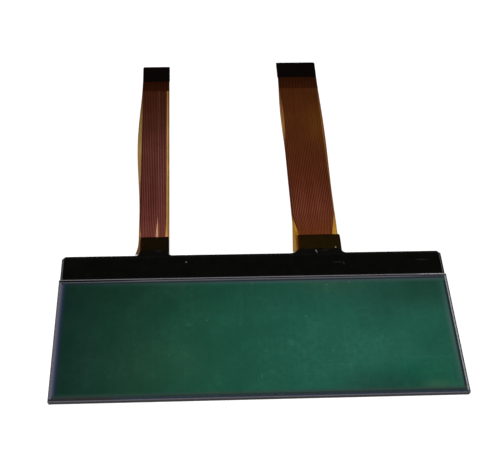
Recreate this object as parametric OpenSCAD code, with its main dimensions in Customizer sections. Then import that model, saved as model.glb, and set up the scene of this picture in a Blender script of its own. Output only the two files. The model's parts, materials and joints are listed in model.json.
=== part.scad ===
// Liquid crystal display module: a glass cell with a coated contact ledge and two printed film tails.
// X runs along the panel, Y from the panel towards the ends of the tails, Z out of the viewing face.
// The origin is the middle of the cell on its rear face, which the module lies on.

/* [Panel] */
// Width of the front glass
panel_w = 105; // [92:1:140]
// Depth of the front glass, from its near edge to the ledge
front_d = 37.3; // [26:0.1:60]
// Depth of the contact ledge that the front glass leaves free
ledge_d = 8.4; // [7.8:0.1:12]
// Thickness of each glass
glass_t = 0.7; // [0.5:0.1:1.1]
// Ground seam along the outer edges of each glass
seam = 0.1; // [0.05:0.01:0.15]
// How far each side of the rear glass stands back from the front glass
rear_step = 0.15; // [0.05:0.05:0.3]
// Cut across each far corner of the ledge
corner_cut = 0.9; // [0.4:0.1:2]

/* [Cell] */
// Space between the glasses, drawn thicker than the few thousandths of a real cell
cell_gap = 0.04; // [0.02:0.01:0.1]
// Width of the perimeter seal
seal_w = 1; // [0.8:0.1:1.5]
// Distance from the edge of the front glass to the seal
seal_inset = 0.7; // [0.5:0.1:1.2]
// Outer corner radius of the seal
seal_r = 1.6; // [1.6:0.1:3]
// Width of the fill port in the right-hand side of the seal
port_w = 3; // [2:0.5:5]
// Width of each lip that leads the fill port to the glass edge
lip_w = 0.5; // [0.3:0.1:0.8]
// Share of the port's length that the end seal fills
plug_share = 0.6; // [0.3:0.05:0.8]
// Length of the end seal bead along the glass edge
bead_l = 5; // [4.2:0.1:8]
// Height of the end seal bead across the glass edges
bead_h = 1.1; // [0.8:0.1:1.3]
// How far the end seal bead stands out of the front glass
bead_out = 0.15; // [0.1:0.05:0.4]
// Diameter of each silver transfer dot
dot_d = 0.6; // [0.4:0.05:0.7]
// Distance from the far edge of the front glass to each transfer dot
dot_back = 6; // [4:0.5:10]

/* [Polarizers] */
// Thickness of the front polarizer film
front_pol_t = 0.2; // [0.12:0.02:0.3]
// Thickness of the rear polarizer film
rear_pol_t = 0.14; // [0.1:0.02:0.2]
// Thickness of the reflector film under the rear polarizer
reflector_t = 0.08; // [0.04:0.01:0.12]
// Distance from the edges of the front glass to the polarizers
pol_inset = 0.8; // [0.3:0.1:1]
// Corner radius of the polarizers
pol_r = 0.4; // [0.2:0.1:1]

/* [Driver chips] */
// Length of each driver die
chip_l = 15; // [10:0.5:18]
// Width of each driver die
chip_w = 1.8; // [1.2:0.1:2.2]
// Thickness of each driver die
chip_t = 0.36; // [0.3:0.02:0.4]
// Distance from the front glass to the dies
chip_gap = 2.2; // [1.8:0.1:2.4]
// Thickness of the conductive film under each die
chip_bond_t = 0.03; // [0.02:0.01:0.04]
// How far the conductive film reaches past each die
chip_bond_over = 0.25; // [0.1:0.05:0.4]

/* [Ledge coating] */
// Thickness of the coating on the ledge
coat_t = 0.52; // [0.5:0.02:0.7]
// Rim of bare glass at each end of the ledge
coat_side = 0.35; // [0.2:0.05:0.8]
// Rim of bare glass along the far edge of the ledge
coat_far = 0.08; // [0.05:0.01:0.2]
// Radius of the coating's rounded shoulders
coat_r = 0.22; // [0.1:0.02:0.3]
// Height of the swelling over each die
swell_h = 0.12; // [0.06:0.01:0.2]
// Width of the swelling over each die
swell_w = 3.4; // [2.6:0.1:3.8]
// How far the swelling reaches past each end of a die
swell_over = 1.2; // [0.6:0.1:2]
// How far the coating climbs onto the left tail past the ledge
left_climb = 1.75; // [1:0.05:2.2]
// How far the coating climbs onto the right tail past the ledge
right_climb = 1.45; // [1:0.05:2.2]
// Length of the coating's fillet at each side of the left tape
left_fillet = 1.1; // [0.8:0.1:2]
// Length of the coating's fillet at each side of the right tape
right_fillet = 2.5; // [1.5:0.1:4]
// Share of the fillet's length that lies past the left edge of a tape
left_share = 0.7; // [0.5:0.05:0.9]
// Share of the fillet's length that lies past the right edge of a tape
right_share = 0.4; // [0.3:0.05:0.9]
// Thickness of the coating at its front on a tail
climb_t = 0.06; // [0.03:0.01:0.1]
// Depth of the waves along the coating's front on a tail
climb_wave = 0.14; // [0:0.02:0.2]

/* [Tail films] */
// Thickness of the base film
base_t = 0.05; // [0.03:0.005:0.075]
// Thickness of the copper
copper_t = 0.035; // [0.02:0.005:0.05]
// Thickness of the lower cover film
cover_t = 0.05; // [0.03:0.005:0.075]
// Distance from the ledge to the lower cover film
cover_start = 0.5; // [0.3:0.1:1]
// Length of each tail that lies on the ledge
head_l = 2.5; // [2:0.1:2.8]
// Distance from the edge of the ledge to the conductive film under each tail
bond_clear = 0.3; // [0.1:0.1:0.8]
// Thickness of the conductive film under each tail
bond_t = 0.03; // [0.02:0.01:0.04]
// Length that stays level past the ledge
level_l = 2.6; // [2.5:0.1:4]
// Length over which a tail sinks to the surface under the panel
drop_l = 45; // [20:1:55]
// Radius of the corners at the end of a tail
tip_r = 0.4; // [0.2:0.1:0.8]

/* [Conductors] */
// Spacing of the conductors along a tail and at its contacts
pitch = 0.5; // [0.5:0.05:0.6]
// Spacing of the left tail's conductors where they are bonded to the ledge
left_bond_pitch = 0.43; // [0.35:0.01:0.45]
// Spacing of the right tail's conductors where they are bonded to the ledge
right_bond_pitch = 0.4; // [0.35:0.01:0.45]
// Width of a conductor along a tail
trace_w = 0.3; // [0.15:0.01:0.34]
// Width of a conductor where it is bonded
pad_w = 0.22; // [0.15:0.01:0.25]
// Width of a contact finger
finger_w = 0.35; // [0.25:0.01:0.4]
// Length of the bare contact fingers
finger_l = 4.5; // [3:0.5:6]
// Length over which a conductor widens into its finger
finger_widen_l = 0.6; // [0.3:0.1:1]
// Distance from either end of a tail to its conductors
trace_end = 0.2; // [0.1:0.05:0.5]
// Distance from the ledge to where the conductors spread out
fan_start = 6.6; // [5:0.1:9]
// Length over which the conductors spread out
fan_l = 7.6; // [5:0.1:12]

/* [Tail ends] */
// Thickness of the brown reinforcing film
tip_film_t = 0.075; // [0.05:0.005:0.125]
// Length of the left tail's brown reinforcing film
left_tip_film_l = 11.2; // [9:0.1:16]
// Length of the right tail's brown reinforcing film
right_tip_film_l = 12; // [9:0.1:16]
// Thickness of the black stiffener
stiff_t = 0.15; // [0.1:0.01:0.25]
// Length of the black stiffener
stiff_l = 6.9; // [5:0.1:8.5]

/* [Root tapes] */
// Thickness of the tape over the root of each tail
tape_t = 0.1; // [0.05:0.01:0.15]
// Distance from the ledge to the outer end of the tape
tape_out = 6.45; // [4:0.05:9]
// Length of the tape that lies under the coating on the ledge
tape_in = 1.6; // [1:0.1:1.8]
// Radius of the tape's outer corners
tape_r = 0.5; // [0.2:0.1:1]

/* [Left tail] */
// Distance from the middle of the panel to the root of the left tail
left_x = 27.33; // [24:0.01:30]
// Angle by which the left tail leans outwards
left_lean = 0.4; // [0:0.05:1]
// Length of the left tail past the ledge
left_l = 78.8; // [78:0.1:110]
// Contact places across the left tail
left_places = 16; // [16:1:18]
// Conductors on the left tail
left_traces = 15; // [12:1:16]
// Conductors in the first group at the left root
left_group = 10; // [4:1:11]
// Spacing between the two groups at the left root
left_group_gap = 1; // [0.6:0.05:1.2]
// Depth of the shallow belly in the left edge
left_belly = 1.15; // [0.2:0.05:1.5]
// Distance from the ledge to the start of the belly
left_belly_start = 14; // [12:0.5:16]
// Length of the belly
left_belly_l = 60; // [30:1:60]
// Distance from the ledge to where the left edge starts to flare
flare_out = 5.5; // [4:0.1:7]
// Radius of the flare in the left edge
flare_r = 15.6; // [14:0.1:20]
// Width of the tape over the left root
left_tape_w = 7.85; // [6:0.05:8]
// Sideways offset of the tape from the middle of the left tail
left_tape_x = 0.2; // [0:0.05:0.3]
// Sideways offset of the left stiffener
left_stiff_x = 0.1; // [-0.2:0.05:0.2]

/* [Right tail] */
// Distance from the middle of the panel to the root of the right tail
right_x = 18.03; // [14:0.01:24]
// Angle by which the right tail leans towards the left one
right_lean = 0.25; // [0:0.05:0.6]
// Length of the right tail past the ledge
right_l = 80.5; // [79:0.1:110]
// Contact places across the right tail
right_places = 24; // [24:1:28]
// Conductors on the right tail
right_traces = 24; // [16:1:24]
// Depth of the shallow bellies in both edges
right_belly = 0.38; // [0.1:0.02:0.6]
// Distance from the ledge to the outer end of both bellies
right_belly_end = 76; // [70:1:77]
// Length of the belly in the left edge
right_belly_l = 38; // [20:1:45]
// Length of the longer belly in the right edge
right_long_belly_l = 57; // [46:1:60]
// Distance from the ledge to where the left edge starts to widen
widen_l = 11; // [7:0.5:14]
// How far the left edge stands out at the ledge
widen = 0.65; // [0.1:0.05:1]
// Width of the tape over the right root
right_tape_w = 12.05; // [10:0.05:12.3]
// Sideways offset of the tape from the middle of the right tail
right_tape_x = 0.78; // [0:0.05:1]
// Sideways offset of the right stiffener
right_stiff_x = -0.2; // [-0.3:0.05:0.2]

/* [Hidden] */
$fn = 96;

// Room that a cutting body has past what it cuts
over = 0.5;
// Steps in the sinking stretch of a tail, in its belly, flare and corners, and along the coating's front
drop_steps = 24;
belly_steps = 26;
flare_steps = 12;
corner_steps = 6;
front_steps = 40;

// Heights of the faces of the stack
polarizer_z = reflector_t;
rear_z = polarizer_z + rear_pol_t;
ledge_z = rear_z + glass_t;
front_z = ledge_z + cell_gap;
front_top_z = front_z + glass_t;
coat_z = ledge_z + coat_t;

// Edges of the two glasses
half_w = panel_w / 2;
rear_half_w = half_w - rear_step;
near_y = -front_d / 2;
step_y = front_d / 2;
far_y = step_y + ledge_d;
chip_y = step_y + chip_gap + chip_w / 2;
dot_x = half_w - seal_inset - seal_w / 2;

// Values of one tail, chosen by its side
function pick(side, a, b) = side == "left" ? a : b;
function root_x(side) = pick(side, -left_x, right_x);
function lean(side) = pick(side, left_lean, right_lean);
function tail_l(side) = pick(side, left_l, right_l);
function tail_w(side) = (pick(side, left_places, right_places) + 1) * pitch;
function traces(side) = pick(side, left_traces, right_traces);
function group(side) = pick(side, left_group, right_traces);
function bond_pitch(side) = pick(side, left_bond_pitch, right_bond_pitch);
function group_extra(side) = pick(side, left_group_gap - left_bond_pitch, 0);
function tip_film_l(side) = pick(side, left_tip_film_l, right_tip_film_l);
function tape_w(side) = pick(side, left_tape_w, right_tape_w);
function tape_x(side) = pick(side, left_tape_x, right_tape_x);
function stiff_x(side) = pick(side, left_stiff_x, right_stiff_x);

// Middle of conductor i along the tail, and where it is bonded
function along_x(side, i) = (i + 1) * pitch - tail_w(side) / 2;
function middle_x(side) = (along_x(side, 0) + along_x(side, traces(side) - 1)) / 2;
function bond_span(side) = (traces(side) - 1) * bond_pitch(side) + group_extra(side);
function bonded_x(side, i) = middle_x(side) - bond_span(side) / 2
    + i * bond_pitch(side) + (i >= group(side) ? group_extra(side) : 0);

// Height of the copper's lower face at a distance v past the ledge, level and then sinking smoothly
copper_root_z = ledge_z + bond_t;
copper_tip_z = cover_t;
function sink(s) = copper_tip_z + (copper_root_z - copper_tip_z) * (1 - s) * (1 - s) * (1 + 2 * s);
drop_stations = [for (i = [0:drop_steps]) level_l + drop_l * i / drop_steps];
drop_table = [for (i = [0:drop_steps]) [drop_stations[i], sink(i / drop_steps)]];
function copper_z(v) = lookup(v, drop_table);

// Heights of a tail's layers above the copper's lower face
base_top = copper_t + base_t;
tape_top = base_top + tape_t;
tip_film_top = base_top + tip_film_t;
stiff_top = tip_film_top + stiff_t;

// Radius of a round back of given half width and rise
function arc_r(half, rise) = (half * half + rise * rise) / (2 * rise);

// Points of a shallow belly, s = 1 on the right edge and -1 on the left one, outwards along the tail
function belly_points(s, edge, start, run, depth) = [for (i = [0:belly_steps])
    [s * (edge + depth * pow(sin(180 * i / belly_steps), 2)), start + run * i / belly_steps]];
function reversed(points) = [for (i = [len(points) - 1:-1:0]) points[i]];

// How far the left tail's left edge stands out at a distance v in the flare
function flare_at(v) = flare_r - sqrt(flare_r * flare_r - pow(flare_out - v, 2));

// Outline of the coating's front on a tail, at a distance x from the middle of the tail: it rises
// in a fillet past each edge of the tape and waves a little in between
function eased(t) = let (c = min(max(t, 0), 1)) c * c * (3 - 2 * c);
function climb(side) = pick(side, left_climb, right_climb);
function fillet(side) = pick(side, left_fillet, right_fillet);
function coat_left(side) = tape_x(side) - tape_w(side) / 2 - left_share * fillet(side);
function coat_right(side) = tape_x(side) + tape_w(side) / 2 + right_share * fillet(side);
function front_at(side, x) = let (a = (x - coat_left(side)) / (coat_right(side) - coat_left(side)))
    eased((x - coat_left(side)) / fillet(side)) * eased((coat_right(side) - x) / fillet(side))
    * (climb(side) + climb_wave * sin(900 * a));

// Places the tail of one side with its root at the ledge's far edge
module at_root(side) {
    translate([root_x(side), far_y, 0]) rotate([0, 0, lean(side)]) children();
}

// Body with the side view drawn in Y and Z, of width w around X = 0
module side_view(w) {
    translate([-w / 2, 0, 0]) rotate([90, 0, 90]) linear_extrude(w) children();
}

// Layer of a tail between two heights above the copper's lower face, from v0 to v1
module layer(w, v0, v1, low, high) {
    inner = [for (v = drop_stations) if (v > v0 && v < v1) v];
    run = concat([v0], inner, [v1]);
    last = len(run) - 1;
    below = [for (v = run) [v, copper_z(v) + low]];
    above = [for (i = [0:last]) [run[last - i], copper_z(run[last - i]) + high]];
    side_view(w) polygon(concat(below, above));
}

// Upright body of a plan outline, taller than the whole module
module upright() {
    translate([0, 0, -over]) linear_extrude(front_top_z + 4 * over) children();
}

// Strip from v0 to v1 with round corners at its outer end
module strip_plan(w, v0, v1, r) {
    translate([-w / 2, v0]) square([w, v1 - v0 - r]);
    translate([r - w / 2, v0]) square([w - 2 * r, v1 - v0]);
    for (s = [-1, 1]) translate([s * (w / 2 - r), v1 - r]) circle(r);
}

// Outline of a tail's films: both have bellies, the left one flares towards the ledge and the right
// one widens towards it
module film_plan(side) {
    edge = tail_w(side) / 2;
    end = tail_l(side);
    corner = [for (i = [0:corner_steps]) let (a = 90 * i / corner_steps)
        [edge - tip_r * (1 - cos(a)), end - tip_r * (1 - sin(a))]];
    far_left = [for (p = reversed(corner)) [-p[0], p[1]]];
    flare_edge = [for (i = [0:flare_steps]) let (v = flare_out - (flare_out + head_l) * i / flare_steps)
        [-edge - flare_at(v), v]];
    right = side == "left" ? [] : belly_points(1, edge, right_belly_end - right_long_belly_l,
        right_long_belly_l, right_belly);
    left = side == "left"
        ? concat(reversed(belly_points(-1, edge, left_belly_start, left_belly_l, left_belly)), flare_edge)
        : concat(reversed(belly_points(-1, edge, right_belly_end - right_belly_l, right_belly_l,
            right_belly)), [[-edge, widen_l], [-edge - widen, 0], [-edge - widen, -head_l]]);
    polygon(concat([[edge, -head_l]], right, corner, far_left, left));
}

// Outline of conductor i, from its bonded end to its contact finger
module trace_plan(side, i) {
    bare = tail_l(side) - finger_l;
    end = tail_l(side) - trace_end;
    b = bonded_x(side, i);
    t = along_x(side, i);
    xs = [b, b, t, t, t, t];
    vs = [trace_end - head_l, fan_start, fan_start + fan_l, bare - finger_widen_l, bare, end];
    hs = [pad_w, pad_w, trace_w, trace_w, finger_w, finger_w] / 2;
    last = len(xs) - 1;
    polygon(concat([for (k = [0:last]) [xs[k] - hs[k], vs[k]]],
        [for (k = [0:last]) [xs[last - k] + hs[last - k], vs[last - k]]]));
}

// The conductors of one tail between two heights above their lower face
module conductors(side, low, high) {
    intersection() {
        layer(2 * tail_w(side), -head_l, tail_l(side), low, high);
        upright() for (i = [0:traces(side) - 1]) trace_plan(side, i);
    }
}

module base_film(side) {
    color([0.72, 0.45, 0.12, 0.6]) at_root(side) intersection() {
        layer(2 * tail_w(side), -head_l, tail_l(side), copper_t, base_top);
        upright() film_plan(side);
    }
}

module copper(side) {
    color([0.42, 0.2, 0.14]) at_root(side) conductors(side, 0, copper_t);
}

// Lower cover film, with its glue filling the spaces between the conductors
module coverlay(side) {
    color([0.66, 0.4, 0.1]) at_root(side) difference() {
        intersection() {
            layer(2 * tail_w(side), cover_start, tail_l(side) - finger_l, -cover_t, copper_t);
            upright() film_plan(side);
        }
        conductors(side, 0, copper_t + over);
    }
}

// Conductive film between the tail and the ledge, up to the base film between the conductors
module bond_film(side) {
    color([0.6, 0.58, 0.5]) at_root(side) difference() {
        intersection() {
            layer(2 * tail_w(side), -head_l, -bond_clear, -bond_t, copper_t);
            upright() film_plan(side);
        }
        conductors(side, 0, copper_t + over);
    }
}

module root_tape(side) {
    color([0.16, 0.12, 0.04]) at_root(side) translate([tape_x(side), 0, 0]) intersection() {
        layer(tape_w(side), -tape_in, tape_out, base_top, tape_top);
        upright() strip_plan(tape_w(side), -tape_in, tape_out, tape_r);
    }
}

module tip_film(side) {
    color([0.2, 0.1, 0.05]) at_root(side) intersection() {
        layer(tail_w(side), tail_l(side) - tip_film_l(side), tail_l(side), base_top, tip_film_top);
        upright() strip_plan(tail_w(side), 0, tail_l(side), tip_r);
    }
}

module tip_stiffener(side) {
    color([0.05, 0.05, 0.05]) at_root(side) translate([stiff_x(side), 0, 0]) intersection() {
        layer(tail_w(side), tail_l(side) - stiff_l, tail_l(side), tip_film_top, stiff_top);
        upright() strip_plan(tail_w(side), 0, tail_l(side), tip_r);
    }
}

// Plate whose long edges have a ground seam on its top or its bottom
module seamed_plate(x0, x1, y0, y1, z0, z1, top) {
    a = top ? 0 : seam;
    b = top ? seam : 0;
    intersection() {
        translate([(x0 + x1) / 2, 0, 0]) side_view(x1 - x0) polygon([[y0 + a, z0], [y1 - a, z0],
            [y1, z0 + a], [y1, z1 - b], [y1 - b, z1], [y0 + b, z1], [y0, z1 - b], [y0, z0 + a]]);
        translate([0, y1, 0]) rotate([90, 0, 0]) linear_extrude(y1 - y0) polygon([[x0 + a, z0],
            [x1 - a, z0], [x1, z0 + a], [x1, z1 - b], [x1 - b, z1], [x0 + b, z1], [x0, z1 - b],
            [x0, z0 + a]]);
    }
}

// Outline of the rear glass, or of the coating on it, with its far corners cut
module cut_corner_plan(half, y0, y1, cut) {
    polygon([[-half, y0], [half, y0], [half, y1 - cut], [half - cut, y1],
        [cut - half, y1], [-half, y1 - cut]]);
}

// Rectangle around the cell's middle with round corners
module round_plan(w, d, r) {
    square([w - 2 * r, d], center = true);
    square([w, d - 2 * r], center = true);
    for (sx = [-1, 1], sy = [-1, 1]) translate([sx * (w / 2 - r), sy * (d / 2 - r)]) circle(r);
}

// Film on the cell, set back from the edges of the front glass
module cell_film(z, t) {
    translate([0, 0, z]) linear_extrude(t)
        round_plan(panel_w - 2 * pol_inset, front_d - 2 * pol_inset, pol_r);
}

module front_polarizer() {
    color([0.1, 0.3, 0.24, 0.8]) cell_film(front_top_z, front_pol_t);
}

module front_glass() {
    color([0.7, 0.8, 0.78, 0.4])
        seamed_plate(-half_w, half_w, near_y, step_y, front_z, front_top_z, true);
}

module rear_glass() {
    color([0.7, 0.8, 0.78, 0.4]) intersection() {
        seamed_plate(-rear_half_w, rear_half_w, near_y, far_y, rear_z, ledge_z, false);
        upright() cut_corner_plan(rear_half_w, near_y, far_y, corner_cut);
    }
}

module rear_polarizer() {
    color([0.2, 0.24, 0.22]) cell_film(polarizer_z, rear_pol_t);
}

module rear_reflector() {
    color([0.75, 0.76, 0.78]) cell_film(0, reflector_t);
}

// Room inside the seal
module fill_plan() {
    inset = 2 * (seal_inset + seal_w);
    round_plan(panel_w - inset, front_d - inset, seal_r - seal_w);
}

// Stretch of the fill port from the inner side of the seal outwards
module port_plan(from_x, to_x, w) {
    translate([from_x, -w / 2]) square([to_x - from_x, w]);
}

port_in_x = half_w - seal_inset - seal_w;
plug_in_x = half_w - (seal_inset + seal_w) * plug_share;

module perimeter_seal() {
    color([0.16, 0.17, 0.36]) translate([0, 0, ledge_z]) linear_extrude(cell_gap) difference() {
        union() {
            round_plan(panel_w - 2 * seal_inset, front_d - 2 * seal_inset, seal_r);
            port_plan(port_in_x, rear_half_w, port_w + 2 * lip_w);
        }
        fill_plan();
        port_plan(port_in_x - over, half_w, port_w);
        for (s = [-1, 1]) translate([s * dot_x, step_y - dot_back]) circle(d = dot_d);
    }
}

module transfer_dots() {
    color([0.8, 0.8, 0.82]) for (s = [-1, 1])
        translate([s * dot_x, step_y - dot_back, ledge_z]) cylinder(h = cell_gap, d = dot_d);
}

module liquid_crystal() {
    color([0.15, 0.5, 0.35]) translate([0, 0, ledge_z]) linear_extrude(cell_gap) {
        fill_plan();
        port_plan(port_in_x - over, plug_in_x, port_w);
    }
}

// End seal: a tongue in the fill port and a bead along the edges of both glasses
module fill_port_plug() {
    half_h = bead_h / 2;
    bead_r = arc_r(half_h, bead_out);
    run = bead_l - 2 * half_h;
    color([0.75, 0.72, 0.6]) union() {
        translate([0, 0, ledge_z]) linear_extrude(cell_gap) port_plan(plug_in_x, half_w, port_w);
        intersection() {
            translate([half_w + bead_out - bead_r, 0, ledge_z + cell_gap / 2]) union() {
                rotate([90, 0, 0]) cylinder(h = run, r = bead_r, center = true);
                for (s = [-1, 1]) translate([0, s * run / 2, 0]) sphere(bead_r);
            }
            union() {
                translate([rear_half_w, -bead_l, ledge_z - bead_r])
                    cube([bead_r, 2 * bead_l, bead_r + cell_gap]);
                translate([half_w, -bead_l, ledge_z]) cube([bead_r, 2 * bead_l, bead_r]);
            }
        }
    }
}

// Plate over the die of one side, larger than it by a margin all round
module die_block(side, margin, z0, z1) {
    translate([root_x(side) - chip_l / 2 - margin, chip_y - chip_w / 2 - margin, z0])
        cube([chip_l + 2 * margin, chip_w + 2 * margin, z1 - z0]);
}

module driver_chip(side) {
    color([0.3, 0.3, 0.34]) die_block(side, 0, ledge_z + chip_bond_t, ledge_z + chip_bond_t + chip_t);
}

module chip_bond(side) {
    color([0.6, 0.58, 0.5]) die_block(side, chip_bond_over, ledge_z, ledge_z + chip_bond_t);
}

// Section with round shoulders, square at the left if r0 is zero
module shoulder_section(a, b, r0, r1) {
    translate([a, ledge_z]) square([b - a, coat_t - max(r0, r1)]);
    translate([a + r0, ledge_z]) square([b - a - r0 - r1, coat_t]);
    if (r0 > 0) translate([a + r0, coat_z - r0]) circle(r0);
    translate([b - r1, coat_z - r1]) circle(r1);
}

// Coating over the ledge, before anything is cut out of it
module coat_slab() {
    half = rear_half_w - coat_side;
    edge_y = far_y - coat_far;
    intersection() {
        side_view(2 * half) shoulder_section(step_y, edge_y, 0, coat_r);
        translate([0, edge_y, 0]) rotate([90, 0, 0]) linear_extrude(edge_y - step_y)
            shoulder_section(-half, half, coat_r, coat_r);
        upright() cut_corner_plan(half, step_y, edge_y, corner_cut);
    }
}

// Long low swelling over a die
module swelling(side) {
    half = swell_w / 2;
    r = arc_r(half, swell_h);
    run = chip_l + 2 * swell_over - swell_w;
    intersection() {
        translate([root_x(side), chip_y, coat_z + swell_h - r]) union() {
            rotate([0, 90, 0]) cylinder(h = run, r = r, center = true);
            for (s = [-1, 1]) translate([s * run / 2, 0, 0]) sphere(r);
        }
        translate([root_x(side) - chip_l, step_y, coat_z - coat_r]) cube([2 * chip_l, ledge_d, r]);
    }
}

// Coating that climbs onto the root of a tail, thinner towards its front
module climbing_coat(side) {
    low = coat_left(side);
    high = coat_right(side);
    foot = -coat_r - 2 * coat_far;
    reach = climb(side);
    front = [for (i = [0:front_steps]) let (x = low + (high - low) * i / front_steps)
        [x, front_at(side, x)]];
    climb_z = copper_root_z + tape_top + climb_t;
    at_root(side) intersection() {
        side_view(2 * (high - low)) polygon([[-head_l, ledge_z], [reach + over, ledge_z],
            [reach + over, climb_z], [reach, climb_z], [-coat_r - coat_far, coat_z], [-head_l, coat_z]]);
        upright() polygon(concat([[high, foot], [low, foot]], front));
    }
}

// Space that the films and the tape of one tail take up inside the coating
module tail_space(side) {
    at_root(side) {
        intersection() {
            layer(2 * tail_w(side), -head_l, head_l, -over, base_top);
            upright() film_plan(side);
        }
        translate([tape_x(side), 0, 0]) layer(tape_w(side), -tape_in, head_l, base_top, tape_top);
    }
}

module ledge_coating() {
    color([0.04, 0.04, 0.045]) difference() {
        union() {
            coat_slab();
            for (side = ["left", "right"]) {
                swelling(side);
                climbing_coat(side);
            }
        }
        for (side = ["left", "right"]) {
            tail_space(side);
            die_block(side, 0, ledge_z - over, ledge_z + chip_bond_t + chip_t);
            die_block(side, chip_bond_over, ledge_z - over, ledge_z + chip_bond_t);
        }
    }
}

module driver_chip_left() { driver_chip("left"); }
module driver_chip_right() { driver_chip("right"); }
module chip_bond_left() { chip_bond("left"); }
module chip_bond_right() { chip_bond("right"); }
module left_base_film() { base_film("left"); }
module left_traces() { copper("left"); }
module left_coverlay() { coverlay("left"); }
module left_bond_film() { bond_film("left"); }
module left_root_tape() { root_tape("left"); }
module left_tip_film() { tip_film("left"); }
module left_tip_stiffener() { tip_stiffener("left"); }
module right_base_film() { base_film("right"); }
module right_traces() { copper("right"); }
module right_coverlay() { coverlay("right"); }
module right_bond_film() { bond_film("right"); }
module right_root_tape() { root_tape("right"); }
module right_tip_film() { tip_film("right"); }
module right_tip_stiffener() { tip_stiffener("right"); }

front_polarizer();
front_glass();
perimeter_seal();
transfer_dots();
liquid_crystal();
fill_port_plug();
rear_glass();
rear_polarizer();
rear_reflector();
driver_chip_left();
driver_chip_right();
chip_bond_left();
chip_bond_right();
ledge_coating();
left_base_film();
left_traces();
left_coverlay();
left_bond_film();
left_root_tape();
left_tip_film();
left_tip_stiffener();
right_base_film();
right_traces();
right_coverlay();
right_bond_film();
right_root_tape();
right_tip_film();
right_tip_stiffener();
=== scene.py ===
import json
import math

import bmesh
import bpy
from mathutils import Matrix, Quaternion, Vector, noise


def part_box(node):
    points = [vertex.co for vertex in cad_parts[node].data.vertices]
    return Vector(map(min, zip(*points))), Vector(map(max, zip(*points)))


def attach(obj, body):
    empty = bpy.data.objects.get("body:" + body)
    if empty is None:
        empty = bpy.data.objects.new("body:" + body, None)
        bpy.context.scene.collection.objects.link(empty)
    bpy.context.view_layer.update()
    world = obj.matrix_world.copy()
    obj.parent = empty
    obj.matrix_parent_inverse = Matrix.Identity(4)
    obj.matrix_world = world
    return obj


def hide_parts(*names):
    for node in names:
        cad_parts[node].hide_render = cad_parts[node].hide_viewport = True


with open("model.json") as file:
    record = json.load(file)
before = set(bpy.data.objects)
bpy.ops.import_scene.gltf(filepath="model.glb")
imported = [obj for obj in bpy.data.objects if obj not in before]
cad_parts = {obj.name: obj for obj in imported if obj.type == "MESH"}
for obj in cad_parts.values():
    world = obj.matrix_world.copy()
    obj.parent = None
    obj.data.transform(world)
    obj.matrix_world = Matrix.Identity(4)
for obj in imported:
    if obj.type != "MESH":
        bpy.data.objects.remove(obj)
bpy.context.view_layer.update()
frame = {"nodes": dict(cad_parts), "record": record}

mm = 0.001
sides = ("left", "right")
print("display module: frame loaded,", len(frame["nodes"]), "nodes")


def boxOf(nodeName):
    # low and high corner of a solid, in millimetres
    return [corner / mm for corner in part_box(nodeName)]


# places that the looks are worked out from, in millimetres
stepY = boxOf("front_glass")[1].y  # where the front glass ends and the ledge begins
ledgeHigh = boxOf("rear_glass")[1]
edgeY = ledgeHigh.y  # far edge of the ledge, where the tails leave it


def tailPlace(side):
    # root, lean and size of one tail, read from its contact mount and its solids
    mount = next(m for m in frame["record"]["mounts"] if m["name"] == side + "_tail_contacts")
    tip, way = Vector(mount["pos_m"]) / mm, Vector(mount["axis"])
    length = (tip.y - edgeY) / way.y
    bandLow, bandHigh = boxOf(side + "_tip_film")
    headLow, headHigh = boxOf(side + "_base_film")
    lean = math.atan2(-way.x, way.y)
    width = (bandHigh.x - bandLow.x - (bandHigh.y - bandLow.y) * math.sin(lean)) / math.cos(lean)
    return {"x": tip.x - way.x * length, "lean": lean, "length": length, "width": width,
            "tape": boxOf(side + "_root_tape"), "chip": boxOf("driver_chip_" + side),
            "headY": headLow.y, "filmTop": headHigh.z}


tails = {side: tailPlace(side) for side in sides}


def linear(code):
    # sRGB hex to the linear colour that shaders take
    parts = [int(code[i:i + 2], 16) / 255 for i in (1, 3, 5)]
    return tuple(c / 12.92 if c <= 0.04045 else ((c + 0.055) / 1.055) ** 2.4 for c in parts) + (1,)


def addNode(tree, kind, inputs=None, stops=(), **settings):
    # adds a node, sets what it is given, colours its ramp, and links any input that is a socket or
    # a node, a node by its first output
    made = tree.nodes.new("ShaderNode" + kind)
    for name, value in settings.items():
        setattr(made, name, value)
    for extra in stops[2:]:
        made.color_ramp.elements.new(1.0)
    for place, (position, colour) in enumerate(stops):
        made.color_ramp.elements[place].position = position
        made.color_ramp.elements[place].color = colour
    for name, value in (inputs or {}).items():
        value = value.outputs[0] if isinstance(value, bpy.types.Node) else value
        if isinstance(value, bpy.types.NodeSocket):
            tree.links.new(value, made.inputs[name])
        else:
            made.inputs[name].default_value = value
    return made


def freshTree(owner):
    # the emptied node tree of a material or of the world
    owner.use_nodes = True
    owner.node_tree.nodes.clear()
    return owner.node_tree


def startMaterial(name):
    material = bpy.data.materials.new(name)
    return material, freshTree(material)


def setSurface(tree, inputs):
    # the material's shader, with its values and links
    shader = addNode(tree, "BsdfPrincipled", inputs)
    addNode(tree, "OutputMaterial", {0: shader})


def placeInMillimetres(tree, origin=(0, 0), turn=0.0):
    # object coordinates counted in millimetres from an origin, turned about Z
    coordinates = addNode(tree, "TexCoord")
    moved = addNode(tree, "VectorMath", {0: coordinates.outputs["Object"],
                                         1: (origin[0] * mm, origin[1] * mm, 0)}, operation="SUBTRACT")
    return addNode(tree, "Mapping", {"Vector": moved, "Rotation": (0, 0, -turn),
                                     "Scale": (1 / mm, 1 / mm, 1 / mm)}, vector_type="POINT")


def clouds(tree, place, size, tones, detail=3.0, roughness=0.5):
    # noise with clouds so many millimetres across, and the tone between two limits that it gives
    cloud = addNode(tree, "TexNoise", {"Vector": place, "Scale": 1 / size, "Detail": detail,
                                       "Roughness": roughness})
    tone = addNode(tree, "MapRange", {0: cloud, 1: 0.3, 2: 0.7, 3: tones[0], 4: tones[1]})
    return cloud, tone


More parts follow.
